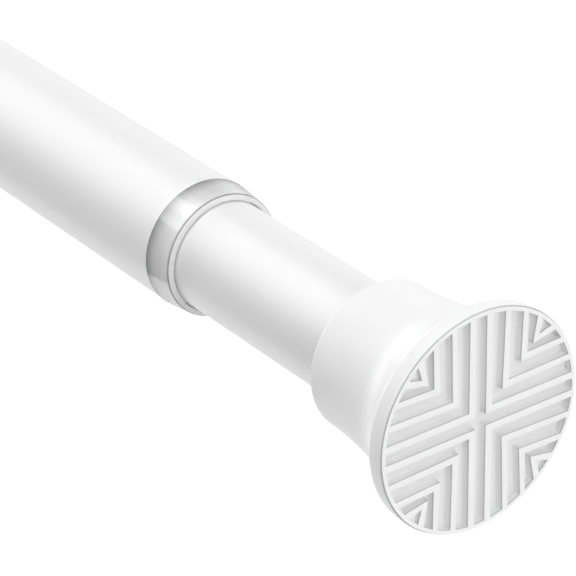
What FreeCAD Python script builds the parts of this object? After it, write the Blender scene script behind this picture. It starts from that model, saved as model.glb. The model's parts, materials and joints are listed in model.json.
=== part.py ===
import FreeCAD, Part
import math
import os
import Sketcher

# Spring tension rod: two telescoping tubes with a padded cap at each end, a twist lock and a spring inside.
# Millimetres. The rod lies along +X with +Z up. The origin is the middle of the fixed end's pad face.

SIZES = {
    # Tubes
    "outer_tube_diameter": 25.0,
    "outer_tube_wall": 0.8,
    "outer_tube_length": 343.8,
    "tube_gap": 1.1,
    "inner_tube_wall": 0.8,
    "inner_tube_reach": 72.2,
    # Clearances
    "press_gap": 0.1,
    "glide_gap": 0.15,
    "bore_gap": 0.15,
    "slot_gap": 0.2,
    "end_float": 0.2,
    # Clear collar
    "collar_spigot_length": 16.0,
    "collar_nose_length": 5.95,
    "collar_lip_length": 0.7,
    "collar_root_step": 0.175,
    "collar_nose_drop": 0.575,
    # End caps
    "cap_length": 28.0,
    "cap_sleeve_wall": 1.5,
    "cap_bevel": 0.4,
    "cap_sleeve_round": 90.0,
    "cap_waist_depth": 13.4,
    "cap_waist_rise": 1.35,
    "cap_flare_round": 17.8,
    "cap_flare_depth": 4.78,
    "cap_flare_rise": 4.02,
    "cap_rim_round": 5.0,
    "cap_rim_depth": 1.5,
    "cap_rim_rise": 1.23,
    "cap_lip_drop": 0.5,
    "cap_lip_bevel": 0.3,
    "cap_seat_depth": 7.0,
    "cap_spigot_length": 12.0,
    "cap_spigot_wall": 1.6,
    # Pads
    "pad_inset": 0.55,
    "pad_thickness": 3.2,
    "pad_bevel": 0.3,
    "pad_stud_diameter": 8.0,
    "pad_stud_length": 3.0,
    "tread_depth": 1.6,
    "tread_rim_width": 0.65,
    "tread_cross_width": 2.4,
    "chevron_width": 1.1,
    "chevron_tip_two": 4.65,
    "chevron_tip_three": 8.5,
    "chevron_tip_four": 11.0,
    "chevron_lean_two": 1.9,
    "chevron_lean_three": 2.6,
    "chevron_lean_four": 10.7,
    "chevron_back_lean_two": 1.2,
    "chevron_back_lean_three": 1.3,
    "chevron_back_lean_four": 16.0,
    # Twist lock
    "lock_room": 25.0,
    "cone_length": 14.0,
    "cone_gap": 2.5,
    "cone_taper": 2.3,
    "cone_stand_off": 4.0,
    "cone_key_width": 2.0,
    "cone_key_length": 12.0,
    "cone_key_sink": 2.4,
    "cone_key_gap": 1.1,
    "sleeve_length": 24.0,
    "sleeve_hub_length": 4.0,
    "sleeve_slot_length": 16.0,
    "sleeve_groove_pitch": 4.0,
    "sleeve_groove_width": 1.2,
    "sleeve_groove_depth": 0.5,
    "drag_ring_section": 1.8,
    # Plunger
    "spindle_diameter": 5.0,
    "spindle_overhang": 4.0,
    "journal_diameter": 6.0,
    "clip_thickness": 0.8,
    "clip_diameter": 10.0,
    "clip_mouth": 3.2,
    "clip_groove_depth": 0.5,
    "washer_thickness": 1.0,
    "thrust_washer_diameter": 14.0,
    "flange_thickness": 3.0,
    "flange_diameter": 16.0,
    "shank_width": 5.0,
    "stop_washer_diameter": 14.0,
    "stop_nut_width": 8.0,
    "stop_nut_height": 5.0,
    "stop_stud_overhang": 1.5,
    # Spring and its seats
    "spring_length": 54.8,
    "spring_wire": 1.6,
    "spring_diameter": 15.0,
    "spring_turns": 6.0,
    "seat_thickness": 2.0,
    "seat_gap": 1.2,
    "seat_boss_length": 4.0,
    "plug_washer_gap": 1.7,
    # Guide plug
    "plug_flange_thickness": 3.0,
    "plug_flange_gap": 0.3,
    "plug_length": 16.0,
    "rivet_diameter": 2.4,
    "rivet_length": 4.5,
    "rivet_inset": 8.0,
}

TREAD_QUARTERS = 4
SLOT_COUNT = 4
SLEEVE_GROOVES = 3
HEX_SIDES = 6
QUARTER_TURN_DEGREES = 90
FULL_TURN_DEGREES = 360
HALF = 0.5

# The way that a pad faces along the rod
TOWARDS_FREE_END, TOWARDS_FIXED_END = 1, -1

# The way that an arc turns between its two corners
LEFT, RIGHT = 1, -1

# Sketcher's marks for the sketch's origin and the points of an edge
START, END, CENTRE = range(1, 4)
ORIGIN = -START

NORMAL = FreeCAD.Vector(0, 0, 1)

doc = FreeCAD.newDocument("SpringTensionRod")
sheet = doc.addObject("Spreadsheet::Sheet", "Sizes")


class Size:
    """A length with its number and the formula that binds it to the sheet."""

    def __init__(self, value, formula):
        self.value = value
        self.formula = formula

    def joined(self, sign, other, value):
        return Size(value, f"({self.formula} {sign} {other.formula})")

    def __add__(self, other):
        other = as_size(other)
        return self.joined("+", other, self.value + other.value)

    def __sub__(self, other):
        other = as_size(other)
        return self.joined("-", other, self.value - other.value)

    def __mul__(self, other):
        other = as_size(other)
        return self.joined("*", other, self.value * other.value)

    def __truediv__(self, other):
        other = as_size(other)
        return self.joined("/", other, self.value / other.value)


def as_size(number):
    """A Size as it is, or a plain number as a Size."""
    if isinstance(number, Size):
        return number
    return Size(float(number), str(number))


def fill_sheet():
    """Writes each driving dimension to its own cell and returns the Sizes by name."""
    sizes = {}
    for row, (name, number) in enumerate(SIZES.items(), start=1):
        sheet.set(f"A{row}", name)
        sheet.set(f"B{row}", str(number))
        sheet.setAlias(f"B{row}", name)
        sizes[name] = Size(number, f"Sizes.{name}")
    doc.recompute()
    return sizes


S = fill_sheet()


def radius(name):
    """Half of a diameter of the sheet."""
    return S[name] * HALF


# Radii that several pieces share
ZERO = as_size(0)
OUTER_RADIUS = radius("outer_tube_diameter")
OUTER_BORE = OUTER_RADIUS - S["outer_tube_wall"]
INNER_RADIUS = OUTER_BORE - S["tube_gap"]
INNER_BORE = INNER_RADIUS - S["inner_tube_wall"]
CAP_SLEEVE = OUTER_RADIUS + S["cap_sleeve_wall"]
CAP_WAIST = CAP_SLEEVE + S["cap_waist_rise"]
CAP_FLARE = CAP_WAIST + S["cap_flare_rise"]
CAP_RIM = CAP_FLARE + S["cap_rim_rise"]
PAD_RADIUS = CAP_RIM - S["pad_inset"]
CONE_BIG = OUTER_BORE - S["cone_gap"]
CONE_SMALL = CONE_BIG - S["cone_taper"]
SPINDLE_RADIUS = radius("spindle_diameter")
JOURNAL_RADIUS = radius("journal_diameter")
CLIP_GROOVE = SPINDLE_RADIUS - S["clip_groove_depth"]
SPRING_RADIUS = radius("spring_diameter")
BOSS_RADIUS = SPRING_RADIUS - radius("spring_wire") - S["end_float"]
SLEEVE_RADIUS = OUTER_BORE - S["bore_gap"]
SHANK_CORNER = S["shank_width"] * math.sqrt(HALF) + S["glide_gap"]

# Places along the rod, from the fixed end to the free end
FIXED_FACE = ZERO
OUTER_START = FIXED_FACE + S["cap_seat_depth"]
MOUTH = OUTER_START + S["outer_tube_length"]
INNER_END = MOUTH + S["inner_tube_reach"]
FREE_FACE = INNER_END + S["cap_seat_depth"]
CONE_START = OUTER_START + S["cap_spigot_length"] + S["lock_room"]
CONE_END = CONE_START + S["cone_length"]
SLEEVE_START = CONE_START + S["cone_stand_off"]
SLEEVE_END = SLEEVE_START + S["sleeve_length"]
HUB_START = SLEEVE_END - S["sleeve_hub_length"]
HUB_MIDDLE = HUB_START + S["sleeve_hub_length"] * HALF
CLIP_END = HUB_START - S["end_float"]
CLIP_START = CLIP_END - S["clip_thickness"]
THRUST_START = SLEEVE_END + S["end_float"]
FLANGE_START = THRUST_START + S["washer_thickness"]
FLANGE_END = FLANGE_START + S["flange_thickness"]
SEAT_END = FLANGE_END + S["seat_thickness"]
SPRING_END = SEAT_END + S["spring_length"]
PLUG_START = SPRING_END + S["washer_thickness"]
INNER_START = PLUG_START + S["plug_flange_thickness"]
PLUG_END = INNER_START + S["plug_length"]
SHANK_END = PLUG_END + S["end_float"]
STOP_NUT_START = SHANK_END + S["washer_thickness"]
STOP_NUT_END = STOP_NUT_START + S["stop_nut_height"]
RIVET_PLACE = INNER_START + S["rivet_inset"]


def new_body(label):
    """An empty body whose label names its piece."""
    body = doc.addObject("PartDesign::Body", label)
    body.Label = label
    return body


def origin_feature(body, role):
    """One of the body's own origin planes or axes."""
    return next(f for f in body.Origin.OriginFeatures if f.Role == role)


def new_sketch(body, plane, name, offset=ZERO):
    """A sketch on one of the body's origin planes, moved along the plane's normal by the offset."""
    sketch = body.newObject("Sketcher::SketchObject", name)
    sketch.AttachmentSupport = (origin_feature(body, plane), [""])
    sketch.MapMode = "FlatFace"
    sketch.setExpression("AttachmentOffset.Base.z", offset.formula)
    return sketch


def bind(sketch, size, kind, *marks):
    """Adds a constraint to the sketch and ties its value to the sheet."""
    number = math.radians(size.value) if kind == "Angle" else size.value
    index = sketch.addConstraint(Sketcher.Constraint(kind, *marks, number))
    sketch.setExpression(f"Constraints[{index}]", size.formula)


def place_point(sketch, edge, mark, along, across):
    """Holds a point of the sketch at its two distances from the origin."""
    bind(sketch, along, "DistanceX", ORIGIN, START, edge, mark)
    bind(sketch, across, "DistanceY", ORIGIN, START, edge, mark)


def join(sketch, edge, mark, other, other_mark):
    """Holds two points of the sketch together."""
    sketch.addConstraint(Sketcher.Constraint("Coincident", edge, mark, other, other_mark))


def edge_between(start, end, arc_radius=None, turn=LEFT):
    """A line or an arc from one corner to the next, with the marks of its two ends."""
    a = FreeCAD.Vector(start[0].value, start[1].value, 0)
    b = FreeCAD.Vector(end[0].value, end[1].value, 0)
    if arc_radius is None:
        return Part.LineSegment(a, b), START, END
    chord = b - a
    across = FreeCAD.Vector(-chord.y, chord.x, 0) * (turn / chord.Length)
    rise = math.sqrt(arc_radius.value**2 - (chord.Length * HALF) ** 2)
    centre = (a + b) * HALF + across * rise
    first, last = (math.atan2(p.y - centre.y, p.x - centre.x) for p in (a, b))
    circle = Part.Circle(centre, NORMAL, arc_radius.value)
    if turn == LEFT:
        return Part.ArcOfCircle(circle, first, last), START, END
    return Part.ArcOfCircle(circle, last, first), END, START


def outline(sketch, corners):
    """A closed outline. A corner is (along, across), and a radius and a turn after it make the next edge an arc."""
    edges = []
    for corner, following in zip(corners, corners[1:] + corners[:1]):
        shape, start, end = edge_between(corner, following, *corner[2:])
        edges.append((sketch.addGeometry(shape, False), start, end))
    for (edge, _, end), (following, start, _) in zip(edges, edges[1:] + edges[:1]):
        join(sketch, edge, end, following, start)
    for (edge, start, _), (along, across, *arc) in zip(edges, corners):
        place_point(sketch, edge, start, along, across)
        if arc:
            bind(sketch, arc[0], "Radius", edge)


def rectangle(sketch, left, right, half_height):
    """A rectangle that is centred on the sketch's horizontal axis."""
    below = ZERO - half_height
    outline(sketch, [(left, below), (right, below), (right, half_height), (left, half_height)])


def round_outline(sketch, along, across, size):
    """A circle about a point of the sketch."""
    centre = FreeCAD.Vector(along.value, across.value, 0)
    circle = sketch.addGeometry(Part.Circle(centre, NORMAL, size.value), False)
    place_point(sketch, circle, CENTRE, along, across)
    bind(sketch, size, "Radius", circle)


def revolve(body, sketch, name):
    """A full turn of the sketch about the rod's axis."""
    feature = body.newObject("PartDesign::Revolution", name)
    feature.Profile = sketch
    feature.ReferenceAxis = (sketch, ["H_Axis"])
    feature.Angle = FULL_TURN_DEGREES


def turned(label, corners):
    """A new turned piece, from an outline of (along, radius) corners."""
    body = new_body(label)
    sketch = new_sketch(body, "XZ_Plane", f"{label}_section")
    outline(sketch, corners)
    revolve(body, sketch, f"{label}_turned")
    return body


def ring(label, start, end, inside, outside):
    """A plain turned ring, such as a tube or a washer."""
    return turned(label, [(start, inside), (end, inside), (end, outside), (start, outside)])


def raise_pad(body, sketch, name, length, reverse=False):
    """Material from the sketch along its normal, or the other way."""
    pad = body.newObject("PartDesign::Pad", name)
    pad.Profile = sketch
    pad.setExpression("Length", length.formula)
    pad.Reversed = reverse
    return pad


def cut_pocket(body, sketch, name, length):
    """A cut from the sketch along its normal."""
    pocket = body.newObject("PartDesign::Pocket", name)
    pocket.Profile = sketch
    pocket.setExpression("Length", length.formula)
    pocket.Reversed = True
    return pocket


def around_rod(body, feature, count, name):
    """Repeats a feature evenly round the rod's axis."""
    pattern = body.newObject("PartDesign::PolarPattern", name)
    pattern.Originals = [feature]
    pattern.Axis = (origin_feature(body, "X_Axis"), [""])
    pattern.Angle = FULL_TURN_DEGREES
    pattern.Occurrences = count
    body.Tip = pattern


def cross_hole(body, label):
    """A hole for the two rivets, right through the piece."""
    sketch = new_sketch(body, "XZ_Plane", f"{label}_rivet_place")
    round_outline(sketch, RIVET_PLACE, ZERO, radius("rivet_diameter") + S["press_gap"])
    pocket = body.newObject("PartDesign::Pocket", f"{label}_rivet_holes")
    pocket.Profile = sketch
    pocket.SideType = "Symmetric"
    pocket.setExpression("Length", S["outer_tube_diameter"].formula)


def make_outer_tube():
    """The painted outer tube."""
    return ring("outer_tube", OUTER_START, MOUTH, OUTER_BORE, OUTER_RADIUS)


def make_inner_tube():
    """The painted inner tube, from the guide plug's flange to its seat in the free end's cap."""
    body = ring("inner_tube", INNER_START, INNER_END, INNER_BORE, INNER_RADIUS)
    cross_hole(body, "inner_tube")
    return body


def make_clear_collar():
    """The clear collar: a spigot in the outer tube's mouth and a tapered nose with a sloped front."""
    spigot_start = MOUTH - S["collar_spigot_length"]
    nose_edge = MOUTH + S["collar_nose_length"]
    bore = INNER_RADIUS + S["glide_gap"]
    spigot = OUTER_BORE - S["press_gap"]
    return turned("clear_collar", [
        (spigot_start, bore),
        (nose_edge + S["collar_lip_length"], bore),
        (nose_edge, OUTER_RADIUS - S["collar_nose_drop"]),
        (MOUTH, OUTER_RADIUS + S["collar_root_step"]),
        (MOUTH, spigot),
        (spigot_start, spigot),
    ])


def make_cap(label, face, way, tube_radius, tube_bore):
    """An end cap: a sleeve over the tube, a spigot in it and a flared disc with a recess for the pad."""

    def behind(depth):
        return face - depth * way

    start = behind(S["cap_length"])
    seat = behind(S["cap_seat_depth"])
    pad_floor = behind(S["pad_thickness"])
    lip = behind(S["cap_lip_drop"])
    spigot_end = behind(S["cap_seat_depth"] + S["cap_spigot_length"])
    spigot = tube_bore - S["press_gap"]
    spigot_inside = spigot - S["cap_spigot_wall"]
    sleeve_bore = tube_radius + S["press_gap"]
    recess = PAD_RADIUS + S["press_gap"]
    stud_hole = radius("pad_stud_diameter") + S["press_gap"]
    return turned(label, [
        (start, sleeve_bore),
        (start, CAP_SLEEVE - S["cap_bevel"]),
        (behind(S["cap_length"] - S["cap_bevel"]), CAP_SLEEVE, S["cap_sleeve_round"], LEFT * way),
        (behind(S["cap_waist_depth"]), CAP_WAIST, S["cap_flare_round"], LEFT * way),
        (behind(S["cap_flare_depth"]), CAP_FLARE, S["cap_rim_round"], RIGHT * way),
        (behind(S["cap_rim_depth"]), CAP_RIM),
        (behind(S["cap_lip_drop"] + S["cap_lip_bevel"]), CAP_RIM),
        (lip, CAP_RIM - S["cap_lip_bevel"]),
        (lip, recess),
        (pad_floor, recess),
        (pad_floor, stud_hole),
        (seat, stud_hole),
        (seat, spigot_inside),
        (spigot_end, spigot_inside),
        (spigot_end, spigot),
        (seat, spigot),
        (seat, sleeve_bore),
    ])


def rim_crossing(corner, lean, reach):
    """Where a line that leaves a corner on the diagonal with a lean meets a circle: its far and its near distance."""
    slope = math.tan(math.radians(lean))
    offset = corner * (1 - slope)
    square = 1 + slope**2
    far = (math.sqrt(square * reach**2 - offset**2) - slope * offset) / square
    return far, offset + slope * far


def chevron(sketch, rim_circle, reach, tip, lean, back_tip, back_lean):
    """One L-shaped rib of the tread's first quarter, with its corner on the diagonal and its ends in the rim."""
    sides = []
    for corner, leaning in ((tip, lean), (back_tip, back_lean)):
        far, near = rim_crossing(corner.value, leaning.value, reach)
        bend = FreeCAD.Vector(corner.value, corner.value, 0)
        level = sketch.addGeometry(Part.LineSegment(bend, FreeCAD.Vector(far, near, 0)), False)
        upright = sketch.addGeometry(Part.LineSegment(bend, FreeCAD.Vector(near, far, 0)), False)
        join(sketch, level, START, upright, START)
        place_point(sketch, level, START, corner, corner)
        for arm in (level, upright):
            sketch.addConstraint(Sketcher.Constraint("PointOnObject", arm, END, rim_circle))
        bind(sketch, leaning, "Angle", level)
        bind(sketch, as_size(QUARTER_TURN_DEGREES) - leaning, "Angle", upright)
        sides.append(((level, far, near), (upright, near, far)))
    for (arm, *front_end), (back_arm, *back_end) in zip(*sides):
        end = Part.LineSegment(FreeCAD.Vector(*front_end, 0), FreeCAD.Vector(*back_end, 0))
        edge = sketch.addGeometry(end, False)
        join(sketch, arm, END, edge, START)
        join(sketch, back_arm, END, edge, END)


def make_pad(label, face, way):
    """A rubber pad: a disc with a stud behind, and in front a thin rim round four quarters of nested chevrons."""

    def behind(depth):
        return face - depth * way

    back = behind(S["pad_thickness"])
    stud_end = behind(S["pad_thickness"] + S["pad_stud_length"])
    stud = radius("pad_stud_diameter")
    tread_floor = behind(S["tread_depth"])
    rim_inside = PAD_RADIUS - S["tread_rim_width"]
    body = turned(label, [
        (stud_end, ZERO),
        (tread_floor, ZERO),
        (tread_floor, rim_inside),
        (face, rim_inside),
        (face, PAD_RADIUS - S["pad_bevel"]),
        (behind(S["pad_bevel"]), PAD_RADIUS),
        (back, PAD_RADIUS),
        (back, stud),
        (stud_end, stud),
    ])
    sketch = new_sketch(body, "YZ_Plane", f"{label}_tread", tread_floor)
    rim_middle = PAD_RADIUS - (S["tread_rim_width"] + S["pad_bevel"]) * HALF
    rim_circle = sketch.addGeometry(Part.Circle(FreeCAD.Vector(), NORMAL, rim_middle.value), True)
    join(sketch, rim_circle, CENTRE, ORIGIN, START)
    bind(sketch, rim_middle, "Radius", rim_circle)
    chevrons = [(S["tread_cross_width"] * HALF, ZERO, ZERO)]
    for name in ("two", "three", "four"):
        chevrons.append((S[f"chevron_tip_{name}"], S[f"chevron_lean_{name}"], S[f"chevron_back_lean_{name}"]))
    for tip, lean, back_lean in chevrons:
        chevron(sketch, rim_circle, rim_middle.value, tip, lean, tip + S["chevron_width"], back_lean)
    ribs = raise_pad(body, sketch, f"{label}_ribs", S["tread_depth"], way == TOWARDS_FIXED_END)
    around_rod(body, ribs, TREAD_QUARTERS, f"{label}_quarters")
    return body


def groove(start, width, floor):
    """The corners of a square groove in the expander sleeve's outside."""
    end = start + width
    return [(start, SLEEVE_RADIUS), (start, floor), (end, floor), (end, SLEEVE_RADIUS)]


def make_expander_sleeve():
    """The slotted sleeve: a tapered mouth for the cone nut, a hub for the spindle and grip grooves outside."""
    cone_at_mouth = CONE_BIG - S["cone_taper"] * (S["cone_stand_off"] / S["cone_length"])
    bore = CONE_SMALL + S["glide_gap"]
    hub_hole = JOURNAL_RADIUS + S["glide_gap"]
    corners = [(SLEEVE_START, cone_at_mouth + S["glide_gap"]), (SLEEVE_START, SLEEVE_RADIUS)]
    for number in range(1, SLEEVE_GROOVES + 1):
        grip_start = SLEEVE_START + S["sleeve_groove_pitch"] * number
        corners += groove(grip_start, S["sleeve_groove_width"], SLEEVE_RADIUS - S["sleeve_groove_depth"])
    section = S["drag_ring_section"]
    corners += groove(HUB_MIDDLE - section * HALF, section, SLEEVE_RADIUS - section)
    corners += [
        (SLEEVE_END, SLEEVE_RADIUS),
        (SLEEVE_END, hub_hole),
        (HUB_START, hub_hole),
        (HUB_START, bore),
        (CONE_END, bore),
    ]
    body = turned("expander_sleeve", corners)
    sketch = new_sketch(body, "XY_Plane", "expander_sleeve_slot_place")
    slot_end = SLEEVE_START + S["sleeve_slot_length"]
    rectangle(sketch, CONE_START, slot_end, radius("cone_key_width") + S["slot_gap"])
    slot = cut_pocket(body, sketch, "expander_sleeve_slot", OUTER_RADIUS)
    around_rod(body, slot, SLOT_COUNT, "expander_sleeve_slots")
    return body


def make_drag_ring():
    """The square rubber ring in the groove of the sleeve's hub, just proud of the sleeve."""
    half_section = radius("drag_ring_section") - S["press_gap"] * HALF
    inside = SLEEVE_RADIUS - S["drag_ring_section"] + S["press_gap"]
    return ring("drag_ring", HUB_MIDDLE - half_section, HUB_MIDDLE + half_section, inside, OUTER_BORE - S["press_gap"])


def make_cone_nut():
    """The tapered nut, with a key for each slot of the sleeve."""
    hole = SPINDLE_RADIUS + S["glide_gap"]
    body = turned("cone_nut", [
        (CONE_START, hole),
        (CONE_END, hole),
        (CONE_END, CONE_SMALL),
        (CONE_START, CONE_BIG),
    ])
    root = CONE_SMALL - S["cone_key_sink"]
    sketch = new_sketch(body, "XY_Plane", "cone_nut_key_place", root)
    rectangle(sketch, CONE_START, CONE_START + S["cone_key_length"], radius("cone_key_width"))
    key = raise_pad(body, sketch, "cone_nut_key", OUTER_BORE - S["cone_key_gap"] - root)
    around_rod(body, key, SLOT_COUNT, "cone_nut_keys")
    return body


def make_plunger_rod():
    """The rod: a threaded spindle, a grooved journal, a flange, a square shank and a stud for the stop nut."""
    spindle_start = CONE_START - S["spindle_overhang"]
    stud_end = STOP_NUT_END + S["stop_stud_overhang"]
    flange = radius("flange_diameter")
    body = turned("plunger_rod", [
        (spindle_start, ZERO),
        (stud_end, ZERO),
        (stud_end, SPINDLE_RADIUS),
        (FLANGE_END, SPINDLE_RADIUS),
        (FLANGE_END, flange),
        (FLANGE_START, flange),
        (FLANGE_START, JOURNAL_RADIUS),
        (CLIP_END, JOURNAL_RADIUS),
        (CLIP_END, CLIP_GROOVE),
        (CLIP_START, CLIP_GROOVE),
        (CLIP_START, SPINDLE_RADIUS),
        (spindle_start, SPINDLE_RADIUS),
    ])
    sketch = new_sketch(body, "YZ_Plane", "plunger_rod_shank_section", FLANGE_END)
    half_width = radius("shank_width")
    rectangle(sketch, ZERO - half_width, half_width, half_width)
    raise_pad(body, sketch, "plunger_rod_shank", SHANK_END - FLANGE_END)
    return body


def make_spindle_clip():
    """The open clip in the spindle's groove."""
    inside = CLIP_GROOVE + S["press_gap"]
    body = ring("spindle_clip", CLIP_START, CLIP_END, inside, radius("clip_diameter"))
    sketch = new_sketch(body, "YZ_Plane", "spindle_clip_mouth_place", CLIP_START)
    rectangle(sketch, ZERO, S["clip_diameter"], radius("clip_mouth"))
    cut_pocket(body, sketch, "spindle_clip_mouth", S["clip_thickness"])
    return body


def make_spring_seat():
    """The flanged seat on the plunger's flange, with a boss that centres the spring."""
    boss_end = SEAT_END + S["seat_boss_length"]
    edge = OUTER_BORE - S["seat_gap"]
    return turned("spring_seat", [
        (FLANGE_END, SHANK_CORNER),
        (boss_end, SHANK_CORNER),
        (boss_end, BOSS_RADIUS),
        (SEAT_END, BOSS_RADIUS),
        (SEAT_END, edge),
        (FLANGE_END, edge),
    ])


def make_guide_plug():
    """The plug in the inner tube's end: a flange, a boss in the spring and a square hole for the shank."""
    boss_start = SPRING_END - S["seat_boss_length"]
    core = radius("shank_width")
    flange = OUTER_BORE - S["plug_flange_gap"]
    plug = INNER_BORE - S["press_gap"]
    body = turned("guide_plug", [
        (boss_start, core),
        (PLUG_END, core),
        (PLUG_END, plug),
        (INNER_START, plug),
        (INNER_START, flange),
        (PLUG_START, flange),
        (PLUG_START, BOSS_RADIUS),
        (boss_start, BOSS_RADIUS),
    ])
    sketch = new_sketch(body, "YZ_Plane", "guide_plug_hole_section", boss_start)
    half_hole = core + S["glide_gap"]
    rectangle(sketch, ZERO - half_hole, half_hole, half_hole)
    cut_pocket(body, sketch, "guide_plug_hole", PLUG_END - boss_start)
    cross_hole(body, "guide_plug")
    return body


def make_plug_rivets():
    """Two rivets, flush with the inner tube, one on each side."""
    rivets = []
    for number, side in enumerate((1, -1), start=1):
        rivet = doc.addObject("Part::Cylinder", f"rivet_{number}")
        rivet.setExpression("Radius", radius("rivet_diameter").formula)
        rivet.setExpression("Height", S["rivet_length"].formula)
        rivet.Placement.Rotation = FreeCAD.Rotation(FreeCAD.Vector(1, 0, 0), QUARTER_TURN_DEGREES * side)
        rivet.setExpression("Placement.Base.x", RIVET_PLACE.formula)
        rivet.setExpression("Placement.Base.y", (INNER_RADIUS * side).formula)
        rivets.append(rivet)
    group = doc.addObject("Part::Compound", "plug_rivets")
    group.Links = rivets
    return group


def make_stop_nut():
    """The plain hexagon nut on the plunger's stud."""
    along = FreeCAD.Rotation(FreeCAD.Vector(0, 1, 0), QUARTER_TURN_DEGREES)
    hexagon = doc.addObject("Part::Prism", "stop_nut_hexagon")
    hexagon.Polygon = HEX_SIDES
    across_corners = S["stop_nut_width"] / math.cos(math.pi / HEX_SIDES)
    hexagon.setExpression("Circumradius", (across_corners * HALF).formula)
    hole = doc.addObject("Part::Cylinder", "stop_nut_hole")
    hole.setExpression("Radius", (SPINDLE_RADIUS + S["press_gap"]).formula)
    for shape in (hexagon, hole):
        shape.setExpression("Height", S["stop_nut_height"].formula)
        shape.Placement.Rotation = along
        shape.setExpression("Placement.Base.x", STOP_NUT_START.formula)
    nut = doc.addObject("Part::Cut", "stop_nut")
    nut.Base = hexagon
    nut.Tool = hole
    return nut


def hexagon_outline(sketch, along, across, size):
    """A hexagon about a point of the sketch, with two of its sides across the rod."""
    corners = []
    for number in range(HEX_SIDES):
        angle = (number + HALF) * 2 * math.pi / HEX_SIDES
        corners.append((along + size * math.cos(angle), across + size * math.sin(angle)))
    outline(sketch, corners)


def make_compression_spring():
    """The spring: open turns between two closed end turns, all of one wire, which has six sides for the round."""
    body = new_body("compression_spring")
    wire = radius("spring_wire")
    end_pitch = S["spring_wire"] + S["press_gap"]
    first = SEAT_END + wire + S["press_gap"]
    last = SPRING_END - wire - S["press_gap"]
    open_start = first + end_pitch
    open_end = last - end_pitch
    stretches = [
        (first, end_pitch, as_size(1)),
        (open_start, open_end - open_start, S["spring_turns"]),
        (open_end, end_pitch, as_size(1)),
    ]
    for number, (start, height, turns) in enumerate(stretches, start=1):
        sketch = new_sketch(body, "XZ_Plane", f"spring_wire_{number}")
        hexagon_outline(sketch, start, SPRING_RADIUS, wire)
        coil = body.newObject("PartDesign::AdditiveHelix", f"spring_coil_{number}")
        coil.Profile = sketch
        coil.ReferenceAxis = (sketch, ["H_Axis"])
        coil.Mode = "height-turns-angle"
        coil.setExpression("Height", height.formula)
        coil.setExpression("Turns", turns.formula)
    return body


def make_washers():
    """The three flat steel washers of the plunger and the spring."""
    thrust_hole = JOURNAL_RADIUS + S["press_gap"]
    stop_hole = SPINDLE_RADIUS + S["press_gap"]
    plug_hole = BOSS_RADIUS + S["press_gap"]
    return [
        ring("thrust_washer", THRUST_START, FLANGE_START, thrust_hole, radius("thrust_washer_diameter")),
        ring("stop_washer", SHANK_END, STOP_NUT_START, stop_hole, radius("stop_washer_diameter")),
        ring("plug_washer", SPRING_END, PLUG_START, plug_hole, OUTER_BORE - S["plug_washer_gap"]),
    ]


def make_rod():
    """Every piece of the rod, from the tubes inwards."""
    return [
        make_outer_tube(),
        make_inner_tube(),
        make_clear_collar(),
        make_cap("fixed_end_cap", FIXED_FACE, TOWARDS_FIXED_END, OUTER_RADIUS, OUTER_BORE),
        make_pad("fixed_end_pad", FIXED_FACE, TOWARDS_FIXED_END),
        make_cap("free_end_cap", FREE_FACE, TOWARDS_FREE_END, INNER_RADIUS, INNER_BORE),
        make_pad("free_end_pad", FREE_FACE, TOWARDS_FREE_END),
        make_expander_sleeve(),
        make_drag_ring(),
        make_cone_nut(),
        make_plunger_rod(),
        make_spindle_clip(),
        make_spring_seat(),
        make_compression_spring(),
        make_guide_plug(),
        make_plug_rivets(),
        make_stop_nut(),
        *make_washers(),
    ]


def check(pieces):
    """Stops if any object of the document failed or any piece has no valid solid."""
    for item in doc.Objects:
        if "Invalid" in item.State or "Error" in item.State:
            raise RuntimeError(f"{item.Label} failed: {item.State}")
    for piece in pieces:
        shape = piece.Shape
        if shape.isNull() or not shape.isValid() or not shape.Solids:
            raise RuntimeError(f"{piece.Label} has no valid solid")


rod_pieces = make_rod()
doc.recompute()
check(rod_pieces)
os.makedirs("parts", exist_ok=True)
for rod_piece in rod_pieces:
    rod_piece.Shape.exportStep(f"parts/{rod_piece.Label}.step")
    print(rod_piece.Label, len(rod_piece.Shape.Solids), round(rod_piece.Shape.Volume, 2))
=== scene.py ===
"""Looks of a spring tension rod: white telescoping tubes, a clear collar, flared caps and treaded pads."""

import json
import logging
import math
from dataclasses import dataclass, field
from enum import Enum

import bpy
import numpy as np
from mathutils import Matrix


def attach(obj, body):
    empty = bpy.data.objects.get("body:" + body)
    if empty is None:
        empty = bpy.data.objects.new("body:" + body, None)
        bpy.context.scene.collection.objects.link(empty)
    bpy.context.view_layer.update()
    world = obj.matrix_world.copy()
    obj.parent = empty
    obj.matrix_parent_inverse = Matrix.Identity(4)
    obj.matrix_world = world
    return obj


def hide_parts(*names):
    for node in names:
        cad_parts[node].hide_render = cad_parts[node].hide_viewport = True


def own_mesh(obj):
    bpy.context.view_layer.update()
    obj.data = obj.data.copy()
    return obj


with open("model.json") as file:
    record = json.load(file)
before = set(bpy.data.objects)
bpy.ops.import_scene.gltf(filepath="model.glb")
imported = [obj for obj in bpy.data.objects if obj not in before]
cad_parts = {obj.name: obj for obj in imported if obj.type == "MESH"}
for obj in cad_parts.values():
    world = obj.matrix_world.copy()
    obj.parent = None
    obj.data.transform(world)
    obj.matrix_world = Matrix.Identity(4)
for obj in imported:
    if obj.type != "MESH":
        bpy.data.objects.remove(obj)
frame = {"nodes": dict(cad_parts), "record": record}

log = logging.getLogger("tension_rod")

Array = np.ndarray
Socket = bpy.types.NodeSocket
Triple = tuple[float, float, float]
Colour = Triple
Place = Triple
Corner = Triple
Shade = Socket | tuple[float, float, float, float]

MM = 0.001
WELD_MM = 1e-5
PHOTO_PIXELS = 576
SENSOR_MM = 36.0
WHITE = (1.0, 1.0, 1.0, 1.0)

# The middle of a noise's range.
NOISE_MIDDLE = 0.5

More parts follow.
